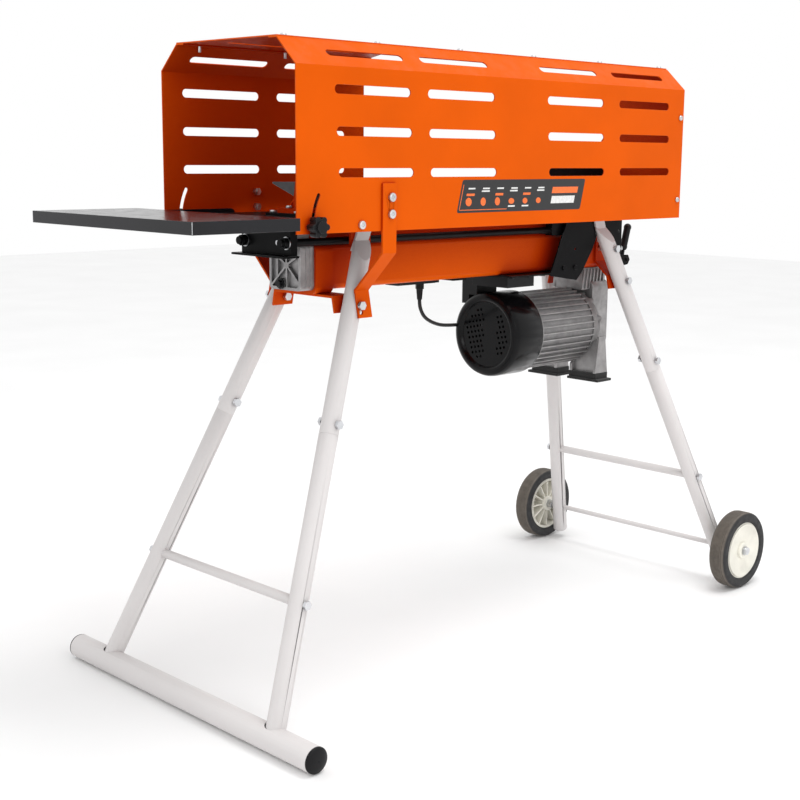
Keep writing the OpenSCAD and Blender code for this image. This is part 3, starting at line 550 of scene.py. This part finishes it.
def orange_marks(bm, columns):
    """An L-shaped line along the lower left, the long block at the right, and the round symbols."""
    (x0, x1), (z0, z1) = LABEL_X, LABEL_Z
    edge, line, upright = 4, 1.2, 1.4
    mark(bm, leaning(x0 + edge, x0 + 125, z0 + edge, z0 + edge + line))
    mark(bm, leaning(x0 + edge, x0 + edge + upright, z0 + edge, z1 - 8))
    mark(bm, leaning(x1 - 90, x1 - 17, z0 + 30, z0 + 41))
    for i, x in enumerate(columns):
        mark(bm, disc(x + 3, z0 + 18, 6.5 if i % 3 else 7.5, 5 if i > 2 else 7))
        if i % 2 == 0:
            mark(bm, leaning(x - 10, x + 10, z0 + 28, z0 + 32))


def pale_marks(bm, columns):
    """The pale block at the right and the short bars over and under the symbols."""
    x1, z0 = LABEL_X[1], LABEL_Z[0]
    mark(bm, leaning(x1 - 88, x1 - 22, z0 + 12, z0 + 25))
    for i, x in enumerate(columns):
        mark(bm, leaning(x - 8, x + 9, z0 + 39, z0 + 41.5))
        if i % 2:
            mark(bm, leaning(x - 10, x + 10, z0 + 34.5, z0 + 37))
        if i in (3, 4):
            mark(bm, leaning(x - 8, x + 10, z0 + 8, z0 + 10.5))


def make_label(materials):
    """Black decal with an orange line and plain blank marks in place of words."""
    columns = [LABEL_X[0] + COLUMN_START + i * COLUMN_STEP for i in range(COLUMNS)]
    film, ink, pale = bmesh.new(), bmesh.new(), bmesh.new()
    slab(film, rounded(leaning(*LABEL_X, *LABEL_Z), LABEL_CORNER), NEAR, FILM)
    orange_marks(ink, columns)
    pale_marks(pale, columns)
    add_mesh("label_film", film, decal("label_film", (0.012, 0.012, 0.013), 0.3),
             "frame", False)
    add_mesh("label_orange_marks", ink, decal("label_orange_ink", (0.90, 0.16, 0.02), 0.35),
             "frame", False)
    add_mesh("label_pale_marks", pale, decal("label_pale_ink", (0.75, 0.75, 0.74), 0.4),
             "frame", False)


PANEL = 171.1  # the panels' outer faces, in millimetres from the middle
RIDGE_SCREWS = {-119: (20, 213, 406, 599, 792, 985), 119: (40, 220, 400)}
RIDGE_TOP = 293.5
END_SCREW_X, END_SCREW_Z = 992, (36, 196)
BRACE_SCREW_X, BRACE_SCREW_Z, BRACE_FACE = 193, (26.4, 52.9), 175.1
HINGE = (132.2, 10.7)


def make_screws(materials):
    """Socket heads on the ridge, end plate, braces and table hinge."""
    bm = bmesh.new()
    small, wide, hinge = (5.2 * MM, 3.6 * MM), (7.2 * MM, 4.6 * MM), (6.8 * MM, 4.2 * MM)
    for y, places in RIDGE_SCREWS.items():
        for x in places:
            screw_head(bm, at(x, y, RIDGE_TOP), (0, 0, 1), *small)
    screw_head(bm, at(END_SCREW_X, -PANEL, END_SCREW_Z[1]), (0, -1, 0), *small)
    for side in (-1, 1):
        out = (0, side, 0)
        screw_head(bm, at(END_SCREW_X, side * PANEL, END_SCREW_Z[0]), out, *small)
        for z in BRACE_SCREW_Z:
            screw_head(bm, at(BRACE_SCREW_X, side * BRACE_FACE, z), out, *wide)
        screw_head(bm, at(HINGE[0], side * PANEL, HINGE[1]), out, *hinge)
    add_mesh("button_heads", bm, materials["zinc"], "frame")


WELDS = (  # first x, pitch, humps, y, z and bead radius, in millimetres
    (207, 1.0, 42, 62.3, 11.6, 1.6),  # front saddle
    (150, 1.6, 500, 30.6, -27.6, 1.3),  # the step along the tank
)


def make_welds(materials):
    """Painted weld beads where plates join."""
    bm = bmesh.new()
    for side in (-1, 1):
        for seed, (x, pitch, humps, y, z, radius) in enumerate(WELDS, 2):
            bead(bm, [at(x + i * pitch, side * y, z) for i in range(humps)], radius * MM, seed)
    add_mesh("orange_welds", bm, materials["orange"], "frame")


def make_table_trim(materials):
    """Bare metal shows at the seams of the folded corners."""
    lo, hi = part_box("table")
    bm = bmesh.new()
    sunk = 0.2 * MM
    heights = [lo[2] + (8 + i * 0.9) * MM for i in range(20)]
    for y in (lo[1] + sunk, hi[1] - sunk):
        path = [Vector((lo[0] + sunk, y, z)) for z in heights if z < hi[2] - 0.5 * MM]
        bead(bm, path, 0.5 * MM, 1)
    add_mesh("table_corner_seams", bm, materials["zinc"], "table")


LEAD = [(496, 60, -120), (496, 60, -136), (496, 60, -152), (502, 63, -168), (518, 68, -185),
        (545, 75, -198), (578, 83, -207), (610, 90, -211), (640, 94, -213), (670, 96, -214),
        (700, 96, -214)]
LEAD_RADIUS = 3.5 * MM


def make_lead(materials):
    """The motor's lead, on the route it has in the CAD."""
    data = bpy.data.curves.new("motor_lead_cable", "CURVE")
    data.dimensions = "3D"
    data.bevel_depth = LEAD_RADIUS
    data.bevel_resolution = 6
    data.resolution_u = 8
    line = data.splines.new("BEZIER")
    line.bezier_points.add(len(LEAD) - 1)
    points = [at(*p) for p in LEAD]
    for i, (b, p) in enumerate(zip(line.bezier_points, points)):
        before, after = points[max(i - 1, 0)], points[min(i + 1, len(points) - 1)]
        b.co = p
        b.handle_left = p - (after - before) / 6
        b.handle_right = p + (after - before) / 6
    o = bpy.data.objects.new("motor_lead_cable", data)
    data.materials.append(materials["soft_rubber"])
    bpy.context.scene.collection.objects.link(o)
    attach(o, "frame")
    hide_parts("motor_lead")


FLOOR_HALF, FLOOR_Z = 9.0, -0.0005


def make_floor():
    m = Mat("floor")
    cloud = m.ramp(m.noise(2.5, 4), 0.3, 0.7)
    m.put("Base Color", m.mix(cloud, (0.90, 0.90, 0.90, 1), (0.93, 0.93, 0.93, 1)))
    m.put("Roughness", 0.7)
    bm = bmesh.new()
    signs = ((-1, -1), (1, -1), (1, 1), (-1, 1))
    bm.faces.new([bm.verts.new((x * FLOOR_HALF, y * FLOOR_HALF, FLOOR_Z)) for x, y in signs])
    mesh = bpy.data.meshes.new("floor")
    bm.to_mesh(mesh)
    bm.free()
    mesh.materials.append(m.m)
    floor = bpy.data.objects.new("floor", mesh)
    bpy.context.scene.collection.objects.link(floor)


make_camera()
make_light()
make_floor()
MATERIALS = make_materials()
make_lead(MATERIALS)
dress_frame(MATERIALS)
make_label(MATERIALS)
make_screws(MATERIALS)
make_welds(MATERIALS)
make_table_trim(MATERIALS)

bpy.context.view_layer.update()
